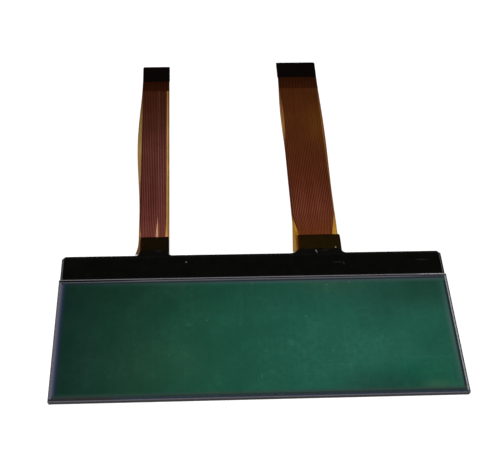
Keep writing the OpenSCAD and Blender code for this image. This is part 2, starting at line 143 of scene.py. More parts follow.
def mottled(tree, place, colour, size, tones, detail=3.0):
    # such noise, and a colour made uneven by it
    cloud, tone = clouds(tree, place, size, tones, detail)
    colour = linear(colour)[:3] if isinstance(colour, str) else colour
    return cloud, addNode(tree, "VectorMath", {0: colour, "Scale": tone}, operation="SCALE")


def drawnLines(tree, place, size, tones):
    # the tone of such clouds drawn out into lines, by their width and length in millimetres
    drawn = addNode(tree, "Mapping", {"Vector": place, "Scale": (1 / size[0], 1 / size[1], 1.0)})
    return clouds(tree, drawn, 1.0, tones, 2.0)[1]


def addMarks(tree, place, colour, marks, start, blend):
    # lays marks over a colour, each given by its middle, half width, half depth and tone; they are
    # full up to a share of the way outward and fade from there
    for x, y, wide, deep, tone in marks:
        tone = linear(tone) if isinstance(tone, str) else (*tone, 1)
        offset = addNode(tree, "VectorMath", {0: place, 1: (x, y, 0)}, operation="SUBTRACT")
        offset = addNode(tree, "VectorMath", {0: offset, 1: (1 / wide, 1 / deep, 0)}, operation="MULTIPLY")
        away = addNode(tree, "VectorMath", {0: offset}, operation="LENGTH")
        near = addNode(tree, "MapRange", {0: away.outputs["Value"], 1: start, 3: 1.0, 4: 0.0},
                       interpolation_type="SMOOTHSTEP")
        colour = addNode(tree, "Mix", {0: near, 6: colour, 7: tone}, data_type="RGBA",
                         blend_type=blend).outputs[2]
    return colour


def fromEdges(x, y, box):
    # of each edge of a piece: the axis across it, where it lies and which way leads inward
    low, high = box
    return {"left": (x, low.x, 1.0), "right": (x, high.x, -1.0),
            "near": (y, low.y, 1.0), "far": (y, high.y, -1.0)}


# front polarizer: calendered film on the glass, satin, with the cell's dark green behind it; the
# seal and the haze beside it show through as bands, in millimetres from the film's own edges, and
# the bands also hold painted highlights and painted shade along the edges
polarizer = {
    # the field's colour along the panel, brighter towards the right as painted light
    "greens": [(-50, "#0C2921"), (-30, "#13392A"), (-10, "#174938"), (10, "#1B5040"), (30, "#205848"),
               (50, "#1B4F3F")],
    "farShade": (3.0, 15.0, 0.82),  # where it starts, where it is full and the share it leaves
    # sizes of smudges, streaks and wiping marks, and the tones or strengths that they run between
    "smudge": 9.0, "smudgeTones": (0.93, 1.07), "smudgeRough": (0.27, 0.38),
    "streak": (0.7, 100 / 3), "streakTones": (0.965, 1.035),
    "wiped": 1.3, "wipedStrength": (0.05, 0.18),
    # dust is drawn a little coarser than the real one so that it shows: the spacing of its cells,
    # the speck's inner and outer radius as shares of it, the share of cells left clean, the strength
    "dustSpacing": 6.5, "dustRadius": (0.012, 0.03), "clean": 0.9, "dustStrength": 0.5, "dust": "#6E8A7C",
    "bandReach": 4.0,
    # edge; where along it the band starts to show and where it shows in full; and its colours and
    # strengths by distance from the edge
    "sealBandsAndPaintedEdgeLight": [
        # left: the light edge is a painted highlight, then the seal shows through
        ("left", [], [(0.0, "#525461", 1.0), (0.2, "#424656", 1.0), (0.4, "#323A4B", 1.0),
                      (0.8, "#1C2A38", 1.0), (1.2, "#12262C", 0.8), (2.0, "#122A22", 0.0)]),
        # right: a light line, a painted highlight, fading towards both ends
        ("right", [(22, 2), (-24, -4)],
         [(0.0, "#3C5652", 0.0), (0.25, "#3C5652", 0.0), (0.55, "#3C5652", 1.0), (1.1, "#365750", 0.8),
          (2.2, "#2A4A42", 0.0)]),
        # right: the dark edge is painted shade
        ("right", [], [(0.0, "#161F20", 1.0), (0.25, "#182425", 1.0), (0.5, "#222F2F", 0.5),
                       (0.8, "#2A3A3A", 0.0)]),
        ("near", [(-66, -6)], [(0.0, "#30463F", 0.7), (0.5, "#2E463E", 0.6), (1.3, "#20403A", 0.0)]),
        ("near", [], [(0.0, "#22302F", 1.0), (0.25, "#283631", 0.6), (0.6, "#2A3A34", 0.3),
                      (1.1, "#2A3A34", 0.0)]),
        ("far", [(-50, 10)], [(0.0, "#2E4246", 1.0), (0.5, "#30434A", 1.0), (1.1, "#384A4B", 0.85),
                              (2.3, "#2A4A42", 0.0)]),
        # far: the light edge is a painted highlight, then the seal shows through
        ("far", [], [(0.0, "#545559", 1.0), (0.36, "#4B4D54", 1.0), (0.56, "#1C222A", 1.0),
                     (0.8, "#1C252A", 0.8), (1.1, "#1C2A2C", 0.0)]),
    ],
    # the far line, a painted highlight, is broken towards the left end and dull towards the right end:
    # middle, half width, half depth and colour
    "lines": [(-52, 17.8, 26, 0.2, "#0C0C10"), (52, 17.7, 13, 0.3, "#2C3034")],
    # marks that handling has left, light and soft: middle, half width, half depth and strength
    "scuffs": [(0.5, -12.8, 0.35, 1.0, 0.5), (1.8, -5.6, 0.4, 0.45, 0.45), (-22.8, -6.0, 0.35, 0.6, 0.5),
               (-17.9, 3.1, 1.3, 0.7, 0.3), (8.6, -3.0, 1.6, 1.6, 0.16), (-34.3, -9.2, 0.3, 0.35, 0.5),
               (-4.4, 3.4, 0.4, 1.7, 0.25), (3.2, -11.7, 1.5, 0.7, 0.2), (20.0, -9.9, 9.0, 0.3, 0.12),
               (42.0, -8.2, 11.0, 0.3, 0.14), (22.6, -2.1, 0.5, 7.0, 0.1)],
    # broad uneven places of the field: middle, half width, half depth, and what each does to the
    # red, green and blue; the first and the third are painted shade that darkens the near right and
    # the far right
    "patches": [(31, -16.5, 19, 8, (0.56, 0.56, 0.56)), (44.5, -17, 6, 3.2, (2.5, 1.25, 1.1)),
                (44, 15, 26, 13, (0.95, 0.72, 0.73)), (21, 16, 14, 6, (1.7, 0.97, 0.93)),
                (-24, -9, 20, 13, (1.6, 1.18, 1.14)), (31, 6, 11, 13, (0.8, 0.8, 0.8)),
                (40, -12.5, 12, 6, (0.55, 0.93, 0.84))],
}


def polarizerFilm():
    own = polarizer
    material, tree = startMaterial("satin polarizer film")
    place = placeInMillimetres(tree)
    x, y = addNode(tree, "SeparateXYZ", {0: place}).outputs[:2]
    # the field's colour along the panel, brighter towards the right as painted light
    colour = linear(own["greens"][0][1])
    for start, end in zip(own["greens"], own["greens"][1:]):
        share = addNode(tree, "MapRange", {0: x, 1: start[0], 2: end[0]})
        colour = addNode(tree, "Mix", {0: share, 6: colour, 7: linear(end[1])}, data_type="RGBA").outputs[2]
    # the field darkens a little towards the ledge
    start, end, left = own["farShade"]
    far = addNode(tree, "MapRange", {0: y, 1: start, 2: end, 3: 1.0, 4: left},
                  interpolation_type="SMOOTHSTEP")
    # faint smudges, fine streaks along the rubbing direction, and a fine unevenness that wiping has
    # left, stronger in some places than in others
    smudges, tone = clouds(tree, place, own["smudge"], own["smudgeTones"], roughness=0.55)
    streakTone = drawnLines(tree, place, own["streak"], own["streakTones"])
    wiped = addNode(tree, "TexNoise", {"Vector": place, "Scale": 1 / own["wiped"], "Detail": 4.0,
                                       "Roughness": 0.75})
    wiped = addNode(tree, "MapRange", {0: wiped, 1: 0.3, 2: 0.7, 3: -1.0}, clamp=False)
    weak, strong = own["wipedStrength"]
    strength = addNode(tree, "MapRange", {0: smudges, 1: 0.35, 2: 0.65, 3: weak, 4: strong})
    wiped = addNode(tree, "Math", {0: wiped, 1: strength, 2: 1.0}, operation="MULTIPLY_ADD")
    for other in (streakTone, far, wiped):
        tone = addNode(tree, "Math", {0: tone, 1: other}, operation="MULTIPLY")
    colour = addNode(tree, "VectorMath", {0: colour, "Scale": tone}, operation="SCALE")
    scuffs = [(*mark[:4], (1 + 2 * mark[4], 1 + mark[4], 1 + mark[4])) for mark in own["scuffs"]]
    colour = addMarks(tree, place, colour, scuffs, 0.1, "MULTIPLY")
    # the patches, with painted shade at the near right and the far right
    colour = addMarks(tree, place, colour, own["patches"], 0.0, "MULTIPLY")
    edges, reach = fromEdges(x, y, boxOf("front_polarizer")), own["bandReach"]
    # bands along the edges: the seal showing through, painted highlights and painted shade
    for name, fades, band in own["sealBandsAndPaintedEdgeLight"]:
        across, edge, inward = edges[name]
        away = addNode(tree, "MapRange", {0: across, 1: edge, 2: edge + reach * inward})
        stops = [(distance / reach, linear(code)[:3] + (share,)) for distance, code, share in band]
        ramp = addNode(tree, "ValToRGB", {0: away}, stops)
        share = ramp.outputs["Alpha"]
        for starts, full in fades:
            fade = addNode(tree, "MapRange", {0: x if name in ("near", "far") else y, 1: starts, 2: full})
            share = addNode(tree, "Math", {0: share, 1: fade}, operation="MULTIPLY")
        colour = addNode(tree, "Mix", {0: share, 6: colour, 7: ramp.outputs["Color"]},
                         data_type="RGBA").outputs[2]
    # the painted highlight of the far line, broken at the left end and dulled at the right end
    colour = addMarks(tree, place, colour, own["lines"], 0.5, "MIX")
    specks = addNode(tree, "TexVoronoi", {"Vector": place, "Scale": 1 / own["dustSpacing"]},
                     feature="F1", voronoi_dimensions="2D")
    speck = addNode(tree, "MapRange", {0: specks.outputs["Distance"], 1: own["dustRadius"][0],
                                       2: own["dustRadius"][1], 3: own["dustStrength"], 4: 0.0})
    chosen = addNode(tree, "SeparateColor", {0: specks.outputs["Color"]})
    few = addNode(tree, "Math", {0: chosen, 1: own["clean"]}, operation="GREATER_THAN")
    dust = addNode(tree, "Math", {0: speck, 1: few}, operation="MULTIPLY")
    colour = addNode(tree, "Mix", {0: dust, 6: colour, 7: linear(own["dust"])}, data_type="RGBA")
    smooth, rough = own["smudgeRough"]
    rough = addNode(tree, "MapRange", {0: smudges, 1: 0.3, 2: 0.7, 3: smooth, 4: rough})
    setSurface(tree, {"Base Color": colour.outputs[2], "Roughness": rough, "IOR": 1.49,
                      "Specular IOR Level": 0.25})
    return material


# the two glasses: the tint of their clear faces darkens the floor seen through them, painted shade
# that stands for the dark bench under the cell
glassTints = {"front_glass": "#CFD4D2", "rear_glass": "#686A6C"}

# their borders that films and resin leave free, painted: they glow as if lit by the light that
# enters the ground edges, lighter at the left and darker at the right, with painted highlight lines
# at the front glass's right and far edges, and show the seal beneath, by distance from each glass's
# own edges in millimetres
glassBorders = {
    "front_glass": {
        "name": "lit border of the front glass",
        "left": [(0.0, "#3C3A3A"), (0.25, "#5E5A62"), (0.8, "#5C5A6C")],
        # a painted highlight line between painted shade
        "right": [(0.0, "#0A0A0C"), (0.22, "#121214"), (0.36, "#8E9296"), (0.56, "#84888A"), (0.7, "#181C1E"),
                  (0.8, "#161F20")],
        "near": [(0.0, "#343541"), (0.3, "#2A323C"), (0.8, "#243739")],
        # painted highlight lines along the far edge
        "far": [(0.0, "#565458"), (0.1, "#727074"), (0.28, "#6A686C"), (0.38, "#18171B"), (0.6, "#141418"),
                (0.7, "#545459"), (0.8, "#585960")],
        # a darker place at the near left; the far highlight broken at the left end and dimmed at the right
        # end; a painted glint at the far right corner
        "marks": [(-45, -18.2, 13, 0.5, "#2A2928"), (-52, 18.12, 26, 0.3, "#020203"),
                  (52, 18.05, 13, 0.3, "#3A3A3C"), (50, 18.5, 7, 0.16, "#A8A4A8")],
    },
    "rear_glass": {
        "name": "bare rim of the rear glass",
        # lighter at the left as painted light, nearly black at the right as painted shade
        "left": [(0.0, "#242420"), (0.1, "#4C4C44"), (0.3, "#3C3C34"), (0.45, "#0C0A06")],
        "right": [(0.0, "#060202"), (0.3, "#140C0A")],
        "near": [(0.0, "#1A1A1C"), (0.3, "#0E0E10")],
        "far": [(0.0, "#040302"), (0.3, "#1A1612")],
        "marks": [],
    },
    "patch": 0.8, "tones": (0.82, 1.18),  # the grinding leaves them a little uneven
}

# their ground edges: tones by the way an edge faces, painted light on the left edges and painted
# shade on the right ones; the long edges are darker below, between two heights in millimetres,
# where less of the light reaches, as painted shade; then how far a face is turned sideways where
# its tone is full, and the size, tones and depth of the scratches
groundEdges = {
    "front_glass": {"left": "#4C4A4E", "right": "#141416", "long": "#53515C", "longLow": "#1B191E",
                    "turn": (1.2, 1.5)},
    "rear_glass": {"left": "#34302E", "right": "#060404", "long": "#0E0A0C", "longLow": "#060405",
                   "turn": (0.3, 0.9)},
    "sideways": 0.6, "scratch": 0.15, "tones": (0.8, 1.2), "relief": 0.01,
}


def polishedGlass(name, code):
    # float glass as drawn: clear, smooth faces
    material, tree = startMaterial(name)
    setSurface(tree, {"Base Color": linear(code), "Roughness": 0.02, "IOR": 1.52,
                      "Transmission Weight": 1.0})
    return material


def borderGlass(nodeName):
    # float glass over the seal: smooth, and lit from its edges
    own = glassBorders[nodeName]
    material, tree = startMaterial(own["name"])
    place = placeInMillimetres(tree)
    x, y = addNode(tree, "SeparateXYZ", {0: place}).outputs[:2]
    colour, closest = None, None
    for side, (across, edge, inward) in fromEdges(x, y, boxOf(nodeName)).items():
        away = addNode(tree, "MapRange", {0: across, 1: edge, 2: edge + inward})
        ramp = addNode(tree, "ValToRGB", {0: away}, [(at, linear(code)) for at, code in own[side]])
        if colour is None:
            colour, closest = ramp.outputs["Color"], away
            continue
        nearer = addNode(tree, "Math", {0: away, 1: closest}, operation="LESS_THAN")
        colour = addNode(tree, "Mix", {0: nearer, 6: colour, 7: ramp.outputs["Color"]},
                         data_type="RGBA").outputs[2]
        closest = addNode(tree, "Math", {0: away, 1: closest}, operation="MINIMUM")
    # marks over the border, among them a painted glint
    colour = addMarks(tree, place, colour, own["marks"], 0.5, "MIX")
    colour = mottled(tree, place, colour, glassBorders["patch"], glassBorders["tones"])[1]
    setSurface(tree, {"Base Color": colour, "Roughness": 0.06, "IOR": 1.52, "Specular IOR Level": 0.3})
    return material


def groundGlass(nodeName, name):
    # glass ground with a fine wheel: matt, with fine scratches along the edge
    own, sideways = groundEdges[nodeName], groundEdges["sideways"]
    material, tree = startMaterial(name)
    place = placeInMillimetres(tree)
    faces = addNode(tree, "NewGeometry")
    turned = addNode(tree, "SeparateXYZ", {0: faces.outputs["Normal"]})
    # painted light and shade: left faces lit, right faces shaded, long faces darker below
    across = addNode(tree, "MapRange", {0: turned, 1: -sideways, 2: sideways})
    colour = addNode(tree, "Mix", {0: across, 6: linear(own["left"]), 7: linear(own["right"])},
                     data_type="RGBA")
    facing = addNode(tree, "Math", {0: turned.outputs[1]}, operation="ABSOLUTE")
    up = addNode(tree, "SeparateXYZ", {0: place}).outputs[2]
    lit = addNode(tree, "MapRange", {0: up, 1: own["turn"][0], 2: own["turn"][1]})
    long = addNode(tree, "Mix", {0: lit, 6: linear(own["longLow"]), 7: linear(own["long"])},
                   data_type="RGBA")
    colour = addNode(tree, "Mix", {0: facing, 6: colour.outputs[2], 7: long.outputs[2]},
                     data_type="RGBA").outputs[2]
    fine, colour = mottled(tree, place, colour, groundEdges["scratch"], groundEdges["tones"])
    bump = addNode(tree, "Bump", {"Height": fine, "Distance": groundEdges["relief"] * mm, "Strength": 0.6})
    setSurface(tree, {"Base Color": colour, "Roughness": 0.55, "Specular IOR Level": 0.2, "Normal": bump})
    return material


# pieces that hardly show: their nodes; the material's name, colour and roughness; the size and
# depth of its fine unevenness in millimetres; and how metallic it is
plainPieces = [
    # cast film: even, half gloss
    (("rear_polarizer",), "rear polarizer film", "#2A302E", 0.3, 6.0, 0.005, 0.0),
    # aluminised and brushed: a soft silver shine
    (("rear_reflector",), "brushed silver reflector film", "#A9ABAE", 0.35, 0.4, 0.01, 0.8),
    # printed epoxy: satin
    (("perimeter_seal",), "navy seal epoxy", "#20253F", 0.4, 0.5, 0.01, 0.0),
    # printed epoxy full of silver flakes: grainy, half metallic
    (("transfer_dots",), "silver filled epoxy", "#B8B8BA", 0.45, 0.08, 0.01, 0.7),
    # a fluid between glasses: even and smooth
    (("liquid_crystal",), "liquid crystal fill", "#1F5A45", 0.2, 8.0, 0.0, 0.0),
    # a drop of adhesive cured under light: glossy, slightly lumpy
    (("fill_port_plug",), "cured end seal adhesive", "#4A4A44", 0.25, 0.6, 0.02, 0.0),
    # thinned and polished wafer: a grey half mirror
    (("driver_chip_left", "driver_chip_right"), "polished silicon", "#5A5C66", 0.2, 0.8, 0.002, 0.4),
    # pressed adhesive full of fine particles: dull and grainy
    (("chip_bond_left", "chip_bond_right", "left_bond_film", "right_bond_film"),
     "conductive particle film", "#8C8570", 0.5, 0.06, 0.01, 0.0),
]
plainUneven = {"tones": (0.88, 1.12), "rough": (0.85, 1.15)}


def plainStuff(name, code, rough, grain, depth, metallic):
    material, tree = startMaterial(name)
    fine, colour = mottled(tree, placeInMillimetres(tree), code, grain, plainUneven["tones"])
    low, high = plainUneven["rough"]
    roughness = addNode(tree, "MapRange", {0: fine, 1: 0.3, 2: 0.7, 3: rough * low, 4: rough * high})
    bump = addNode(tree, "Bump", {"Height": fine, "Distance": depth * mm, "Strength": 0.6})
    setSurface(tree, {"Base Color": colour, "Roughness": roughness, "Metallic": metallic, "Normal": bump})
    return material


# how the conductors run, in millimetres from the ledge and from the middle of each tail, and how
# softly their edges are drawn
conductors = {
    "pitch": 0.5, "traceWidth": 0.3, "padWidth": 0.22, "fanStart": 6.6, "fanLength": 7.6, "fingers": 4.5,
    "shadowLine": 0.26, "soft": 0.03, "traceSoft": 0.04,
    "left": {"places": 16, "traces": 15, "group": 10, "groupGap": 1.0, "bondPitch": 0.43},
    "right": {"places": 24, "traces": 24, "group": 24, "groupGap": 0.4, "bondPitch": 0.4},
}


def placeOnTail(tree, side):
    # millimetres across and along a tail, from the middle of its root
    return placeInMillimetres(tree, (tails[side]["x"], edgeY), tails[side]["lean"])


def tailRuler(tree, side):
    # where a point of a tail lies: across and along it, in the zone that its conductors fill, on a
    # conductor, on the painted shadow line beside the first one, or in the wedge between their two
    # groups
    own = conductors[side]
    place = placeOnTail(tree, side)
    u, v = addNode(tree, "SeparateXYZ", {0: place}).outputs[:2]
    width = (own["places"] + 1) * conductors["pitch"]
    first = conductors["pitch"] - width / 2
    last = own["traces"] * conductors["pitch"] - width / 2
    middle = (first + last) / 2
    extra = own["groupGap"] - own["bondPitch"]
    rootHalf = ((own["traces"] - 1) * own["bondPitch"] + extra) / 2
    ramp = {0: v, 1: conductors["fanStart"], 2: conductors["fanStart"] + conductors["fanLength"]}
    rising = {1: -conductors["soft"], 2: conductors["soft"]}
    halfZone = addNode(tree, "MapRange", {**ramp, 3: rootHalf + conductors["padWidth"] / 2,
                                          4: (last - first + conductors["traceWidth"]) / 2})
    off = addNode(tree, "Math", {0: u, 1: middle}, operation="SUBTRACT")
    offSide = addNode(tree, "Math", {0: off}, operation="ABSOLUTE")
    inside = addNode(tree, "Math", {0: halfZone, 1: offSide}, operation="SUBTRACT")
    zone = addNode(tree, "MapRange", {0: inside, **rising})
    start = addNode(tree, "MapRange", {**ramp, 3: middle - rootHalf, 4: first})
    wedge = None
    if own["group"] < own["traces"]:
        rootLine = middle - rootHalf + (own["group"] - 1) * own["bondPitch"] + own["groupGap"] / 2
        tipLine = first + (own["group"] - 0.5) * conductors["pitch"]
        line = addNode(tree, "MapRange", {**ramp, 3: rootLine, 4: tipLine})
        gap = addNode(tree, "MapRange", {**ramp, 3: (own["groupGap"] - conductors["padWidth"]) / 2, 4: 0.0})
        fromLine = addNode(tree, "Math", {0: u, 1: line}, operation="SUBTRACT")
        offLine = addNode(tree, "Math", {0: fromLine}, operation="ABSOLUTE")
        outside = addNode(tree, "Math", {0: offLine, 1: gap}, operation="SUBTRACT")
        closed = addNode(tree, "MapRange", {0: outside, **rising})
        apart = addNode(tree, "Math", {0: 1.0, 1: closed}, operation="SUBTRACT")
        wedge = addNode(tree, "Math", {0: zone, 1: apart}, operation="MULTIPLY")
        zone = addNode(tree, "Math", {0: zone, 1: closed}, operation="MULTIPLY")
        shift = addNode(tree, "MapRange", {**ramp, 3: extra, 4: 0.0})
        second = addNode(tree, "Math", {0: fromLine, 1: 0.0}, operation="GREATER_THAN")
        start = addNode(tree, "Math", {0: shift, 1: second, 2: start}, operation="MULTIPLY_ADD")
    step = addNode(tree, "MapRange", {**ramp, 3: own["bondPitch"], 4: conductors["pitch"]})
    count = addNode(tree, "Math", {0: u, 1: start}, operation="SUBTRACT")
    count = addNode(tree, "Math", {0: count, 1: step}, operation="DIVIDE")
    near = addNode(tree, "Math", {0: count, 1: 1.0}, operation="PINGPONG")
    half, soft = conductors["traceWidth"] / conductors["pitch"] / 2, conductors["traceSoft"]
    copper = addNode(tree, "MapRange", {0: near, 1: half - soft, 2: half + soft, 3: 1.0, 4: 0.0})
    copper = addNode(tree, "Math", {0: copper, 1: zone}, operation="MULTIPLY")
    # just outside the first conductor the cover film steps down from the copper, and a painted
    # shadow line lies along that step
    outer = addNode(tree, "MapRange", {**ramp, 3: 0.0, 4: conductors["shadowLine"]})
    outer = addNode(tree, "Math", {0: inside, 1: outer}, operation="ADD")
    outer = addNode(tree, "MapRange", {0: outer, **rising})
    firstSide = addNode(tree, "Math", {0: off, 1: 0.0}, operation="LESS_THAN")
    line = addNode(tree, "Math", {0: outer, 1: firstSide}, operation="MULTIPLY")
    return {"place": place, "u": u, "v": v, "zone": zone, "copper": copper,
            "line": line, "wedge": wedge, "width": width}


# colours of the tails: the brown reinforcing film; the sheen and the glare, where the light strikes
# more (middle across and along the tail, half width, half length, and what the sheen does to red,
# green and blue or the glare's own colour); then, by distance from the ledge in millimetres, the
# painted shadow line beside the first conductor, the wedge, the copper seen through the amber film,
# the cover film between the conductors, and that film along the left and the right edge, beside the
# conductors and at the rim, which starts so far from the edge
tailTones = {
    "left": {
        "band": "#210A02",
        "sheen": [(2.4, 28, 2.6, 24, (1.3, 1.42, 1.5))],
        "glare": [],
        "line": [(0, "#361C09"), (78, "#361C09")],
        "wedge": [(6, "#D8A078"), (12, "#DCA082"), (18, "#C08C66")],
        "copper": [(11, "#4D2722"), (20, "#381A18"), (41, "#371C18"), (52, "#2E1914"), (64, "#231008")],
        "between": [(11, "#864A43"), (20, "#753F3A"), (41, "#72413B"), (52, "#4E2D25"), (64, "#33190E")],
        "margins": [
            {"rim": 0.4,
             "inner": [(2, "#4A3018"), (5, "#5A3A24"), (8, "#D2965F"), (12, "#A06C46"), (20, "#845030"),
                       (30, "#B28454"), (45, "#AC9054"), (57, "#8A6440"), (66, "#5A3A20")],
             "outer": [(2, "#665430"), (5, "#6E5834"), (8, "#96702E"), (11, "#A06E46"), (20, "#8A5C34"),
                       (30, "#A88052"), (45, "#A4884E"), (57, "#86663A"), (66, "#56361C")]},
            {"rim": 0.42,
             "inner": [(5, "#DAA25C"), (10, "#C8944C"), (25, "#CE9E4C"), (35, "#D29E5C"), (50, "#CC9656"),
                       (66, "#A2703F")],
             # beside the tape the rim is dark: painted shadow of the tape
             "outer": [(5.2, "#0C0704"), (5.8, "#946630"), (12, "#987014"), (25, "#967010"),
                       (45, "#8C6410"), (65, "#74500E")]},
        ],
    },
    "right": {
        "band": "#260E03",
        "sheen": [(4.0, 51, 5.0, 15, (1.35, 1.6, 1.5))],
        "glare": [(-6.3, 54, 0.95, 13, "#AC7844")],
        # on the right tail the painted shadow line is lighter around the glare
        "line": [(16, "#4A220C"), (42, "#4A220C"), (50, "#98683A"), (57, "#5A3414"), (68, "#4A220C")],
        "copper": [(9, "#512612"), (16, "#441F15"), (28, "#3A1A0B"), (40, "#3C1C09"), (54, "#412205"),
                   (66, "#381D04")],
        "between": [(9, "#7C4123"), (16, "#8A4A34"), (28, "#6C361E"), (40, "#5A2E15"), (54, "#582F0B"),
                    (66, "#412305")],
        "margins": [
            {"rim": 0.52,
             "inner": [(2, "#64441A"), (5, "#6E4A12"), (7, "#A87210"), (9, "#D49A32"), (15, "#5A2C14"),
                       (42, "#7A4824"), (50, "#CC9460"), (57, "#AC784A"), (68, "#4A2C14")],
             "outer": [(2, "#A67F3C"), (6, "#B28030"), (10, "#BE8624"), (15, "#4A200A"), (28, "#4C2410"),
                       (40, "#7A5230"), (51, "#BE945C"), (57, "#987244"), (68, "#5A3A1C")]},
            {"rim": 0.3,
             "inner": [(8, "#D29A36"), (14, "#B07E34"), (20, "#84501E"), (38, "#845026"), (54, "#885826"),
                       (68, "#704816")],
             "outer": [(8, "#CC9634"), (14, "#966A20"), (24, "#7C5222"), (54, "#805628"), (68, "#6A4618")]},
        ],
    },
}


def lengthwise(tree, side, v, stops):
    # colour that changes along a tail
    length = tails[side]["length"]
    share = addNode(tree, "MapRange", {0: v, 2: length})
    return addNode(tree, "ValToRGB", {0: share}, [(at / length, linear(code)) for at, code in stops])


# polyimide base film, cast and glossy: an amber veil with slow waves over the copper
amber = {"veil": "#5A2008", "share": 0.12, "wave": 5.0, "tones": (0.9, 1.1), "relief": 0.05}


def amberFilm(side):
    material, tree = startMaterial(side + " polyimide base film")
    waves, colour = mottled(tree, placeOnTail(tree, side), amber["veil"], amber["wave"], amber["tones"], 2.0)
    bump = addNode(tree, "Bump", {"Height": waves, "Distance": amber["relief"] * mm, "Strength": 0.5})
    setSurface(tree, {"Base Color": colour, "Roughness": 0.22, "IOR": 1.7, "Alpha": amber["share"],
                      "Specular IOR Level": 0.1, "Normal": bump})
    return material


# rolled copper, maroon under its film, gold plated where the fingers are bare; polyimide cover film
# with adhesive, lit between the conductors and amber at the margins. Lamination leaves long faint
# streaks along both; rolling lines run along the copper, and the glue wets the cover in patches
foil = {"streak": (0.8, 250 / 3), "streakTones": (0.82, 1.18), "gold": "#D9A441",
        "rolled": (0.05, 2.0), "rolledRough": (0.3, 0.5)}
cover = {"streakTones": (0.86, 1.14), "under": "#6A4416", "rimSoft": 0.06, "patch": 6.0,
         "patchTones": (0.85, 1.15)}


def litColour(tree, side, ruler, stops, streakTones):
    # a colour of the tail with its streaks, its sheen and its glare
    place, tones = ruler["place"], tailTones[side]
    streaks = drawnLines(tree, place, foil["streak"], streakTones)
    colour = addNode(tree, "VectorMath", {0: lengthwise(tree, side, ruler["v"], stops), "Scale": streaks},
                     operation="SCALE")
    colour = addMarks(tree, place, colour, tones["sheen"], 0.0, "MULTIPLY")
    return addMarks(tree, place, colour, tones["glare"], 0.5, "MIX")


def copperFoil(side):
    material, tree = startMaterial(side + " rolled copper with gold fingers")
    ruler = tailRuler(tree, side)
    colour = litColour(tree, side, ruler, tailTones[side]["copper"], foil["streakTones"])
    bareFrom = tails[side]["length"] - conductors["fingers"]
    bare = addNode(tree, "Math", {0: ruler["v"], 1: bareFrom}, operation="GREATER_THAN")
    colour = addNode(tree, "Mix", {0: bare, 6: colour, 7: linear(foil["gold"])}, data_type="RGBA")
    rough = drawnLines(tree, ruler["place"], foil["rolled"], foil["rolledRough"])
    setSurface(tree, {"Base Color": colour.outputs[2], "Metallic": bare, "Roughness": rough,
                      "Specular IOR Level": 0.05})
    return material


def coverFilm(side):
    tones, soft = tailTones[side], cover["rimSoft"]
    material, tree = startMaterial(side + " polyimide cover film")
    ruler = tailRuler(tree, side)
    u, v = ruler["u"], ruler["v"]
    offMiddle = addNode(tree, "Math", {0: u}, operation="ABSOLUTE")
    edges = []
    for margin in tones["margins"]:
        start = ruler["width"] / 2 - margin["rim"]
        rim = addNode(tree, "MapRange", {0: offMiddle, 1: start - soft, 2: start + soft})
        edges.append(addNode(tree, "Mix", {0: rim, 6: lengthwise(tree, side, v, margin["inner"]),
                                           7: lengthwise(tree, side, v, margin["outer"])}, data_type="RGBA"))
    rightHand = addNode(tree, "Math", {0: u, 1: 0.0}, operation="GREATER_THAN")
    colour = addNode(tree, "Mix", {0: rightHand, 6: edges[0].outputs[2], 7: edges[1].outputs[2]},
                     data_type="RGBA").outputs[2]
    # the painted shadow line beside the first conductor, then the cover film between the conductors
    layers = [(ruler["line"], lengthwise(tree, side, v, tones["line"])),
              (ruler["zone"], litColour(tree, side, ruler, tones["between"], cover["streakTones"]))]
    if ruler["wedge"] is not None:
        layers.append((ruler["wedge"], lengthwise(tree, side, v, tones["wedge"])))
    # from below the copper shows through the film as darker lines
    layers.append((ruler["copper"], linear(cover["under"])))
    for share, tone in layers:
        colour = addNode(tree, "Mix", {0: share, 6: colour, 7: tone}, data_type="RGBA").outputs[2]
    colour = mottled(tree, ruler["place"], colour, cover["patch"], cover["patchTones"], 2.0)[1]
    setSurface(tree, {"Base Color": colour, "Roughness": 0.45, "Specular IOR Level": 0.15})
    return material


# film pressed over the conductors, dull, with faint ridges where they run under it; it is lighter
# before the first of two distances from the tail's end and darker past the second
pressed = {"cloud": 1.5, "tones": (0.85, 1.15), "turn": (12, 8), "turnTones": (1.35, 0.9), "relief": 0.01,
           "filmRough": 0.4, "filmRidges": 0.3, "stiffener": "#070202", "stiffenerRough": 0.45,
           "stiffenerRidges": 0.05}


def pressedFilm(side, name, code, rough, ridges):
    material, tree = startMaterial(side + name)
    ruler, length = tailRuler(tree, side), tails[side]["length"]
    tone = clouds(tree, ruler["place"], pressed["cloud"], pressed["tones"])[1]
    ridge = addNode(tree, "MapRange", {0: ruler["copper"], 3: 1 + ridges, 4: 1 - ridges})
    (start, end), (before, after) = pressed["turn"], pressed["turnTones"]
    along = addNode(tree, "MapRange", {0: ruler["v"], 1: length - start, 2: length - end, 3: before,
                                       4: after})
    for other in (ridge, along):
        tone = addNode(tree, "Math", {0: tone, 1: other}, operation="MULTIPLY")
    colour = addNode(tree, "VectorMath", {0: linear(code)[:3], "Scale": tone}, operation="SCALE")
    bump = addNode(tree, "Bump", {"Height": ruler["copper"], "Distance": pressed["relief"] * mm,
                                  "Strength": 0.5})
    setSurface(tree, {"Base Color": colour, "Roughness": rough, "Specular IOR Level": 0.02, "Normal": bump})
    return material


